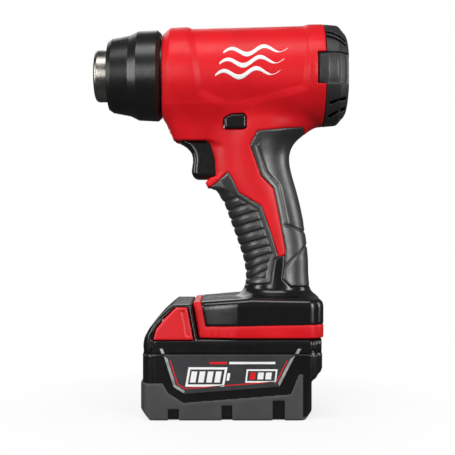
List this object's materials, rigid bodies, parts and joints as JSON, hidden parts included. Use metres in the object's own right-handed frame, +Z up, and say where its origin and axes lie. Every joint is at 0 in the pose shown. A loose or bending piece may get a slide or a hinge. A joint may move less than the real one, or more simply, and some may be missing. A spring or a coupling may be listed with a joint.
{
  "type": "cordless heat gun",
  "caption": "Pistol-grip cordless heat gun with a steel air outlet, vented rear cap, ribbed soft grip, trigger and lock, standing on a slide-on battery pack.",
  "frame": {"origin": "middle of the tool's footprint box, on the surface that the battery pack stands on", "axes": "+Z up; the outlet points along -X; the tool's left side faces -Y"},
  "size_m": [0.163, 0.0754, 0.2521],
  "materials": {
    "red_plastic": "satin moulded",
    "black_plastic": "gloss moulded",
    "shroud_plastic": "satin heat resistant",
    "cap_plastic": "satin moulded",
    "soft_grip": "matte overmould",
    "steel_tube": "polished",
    "steel": "plated",
    "mica": "layered mica",
    "coil_wire": "oxidised resistance wire",
    "ceramic": "unglazed ceramic",
    "iron": "laminated iron",
    "bronze": "plain",
    "white_plastic": "moulded",
    "clear_lens": "clear",
    "circuit_board": "solder mask",
    "aluminium": "extruded",
    "boot_rubber": "matte",
    "latch_red": "satin moulded",
    "cell_sleeve": "shrink sleeve",
    "nickel": "plain strip",
    "light_bar": "tinted lens",
    "button_rubber": "matte",
    "plate": "printed film"
  },
  "bodies": {
    "housing": {"air_duct": "black_plastic", "cap_screws": "steel", "carbon_brushes": "iron", "contact_blades": "bronze", "control_board": "circuit_board", "foot_cover_left": "black_plastic", "foot_cover_right": "black_plastic", "front_grip_left": "soft_grip", "front_grip_right": "soft_grip", "front_shroud": "shroud_plastic", "heat_sink": "aluminium", "heater_collar": "ceramic", "heating_coil": "coil_wire", "hook_boss": "black_plastic", "housing_left": "red_plastic", "housing_right": "red_plastic", "housing_screws": "steel", "intake_screen": "steel", "led_board": "circuit_board", "led_lens": "clear_lens", "mica_cross": "mica", "mica_liner": "mica", "motor_bracket": "black_plastic", "motor_bushes": "bronze", "motor_can": "steel", "motor_end_bell": "black_plastic", "motor_magnets": "iron", "motor_screws": "steel", "nozzle_tube": "steel_tube", "rear_cap": "cap_plastic", "rear_grip_left": "soft_grip", "rear_grip_right": "soft_grip", "terminal_block": "black_plastic", "thermal_cutout": "white_plastic", "trigger_spring": "steel", "trigger_switch": "white_plastic"},
    "battery": {"battery_upper_case": "black_plastic", "battery_lower_case": "black_plastic", "battery_boot": "boot_rubber", "battery_cells": "cell_sleeve", "cell_holders": "white_plastic", "cell_straps": "nickel", "protection_board": "circuit_board", "pack_terminals": "bronze", "pack_screws": "steel", "gauge_panel": "black_plastic", "gauge_lights": "light_bar", "side_plates": "plate", "latch_spring_left": "steel", "latch_spring_right": "steel"},
    "trigger": {"trigger": "black_plastic", "switch_plunger": "white_plastic"},
    "lock_shuttle": {"lock_shuttle": "black_plastic"},
    "rotor": {"motor_shaft": "steel", "armature": "iron", "fan_impeller": "white_plastic"},
    "hanging_loop": {"hanging_loop": "steel"},
    "latch_left": {"latch_button_left": "latch_red"},
    "latch_right": {"latch_button_right": "latch_red"},
    "gauge_button": {"gauge_button": "button_rubber"}
  },
  "joints": [
    {"name": "trigger_pull", "type": "slide", "parent": "housing", "child": "trigger", "axis": [1, 0, 0], "range_m": [0, 0.006], "stiffness_N_per_m": 900, "springref_m": -0.004, "deforming": ["trigger_spring"]},
    {"name": "lock_slide", "type": "slide", "parent": "housing", "child": "lock_shuttle", "axis": [0, 1, 0], "range_m": [-0.0025, 0.0025]},
    {"name": "fan_spin", "type": "hinge", "parent": "housing", "child": "rotor", "pos_m": [0.03, 0, 0.218], "axis": [1, 0, 0], "continuous": true},
    {"name": "loop_swing", "type": "hinge", "parent": "housing", "child": "hanging_loop", "pos_m": [0.0486, 0.0095, 0.2498], "axis": [1, 0, 0], "range_deg": [0, 120]},
    {"name": "battery_slide", "type": "slide", "parent": "housing", "child": "battery", "axis": [-1, 0, 0], "range_m": [0, 0.09]},
    {"name": "latch_left_press", "type": "slide", "parent": "battery", "child": "latch_left", "axis": [0, 1, 0], "range_m": [0, 0.003], "stiffness_N_per_m": 1500, "springref_m": -0.003, "deforming": ["latch_spring_left"]},
    {"name": "latch_right_press", "type": "slide", "parent": "battery", "child": "latch_right", "axis": [0, -1, 0], "range_m": [0, 0.003], "stiffness_N_per_m": 1500, "springref_m": -0.003, "deforming": ["latch_spring_right"]},
    {"name": "gauge_press", "type": "slide", "parent": "battery", "child": "gauge_button", "axis": [1, 0, 0], "range_m": [0, 0.0008], "stiffness_N_per_m": 800, "springref_m": -0.001}
  ]
}
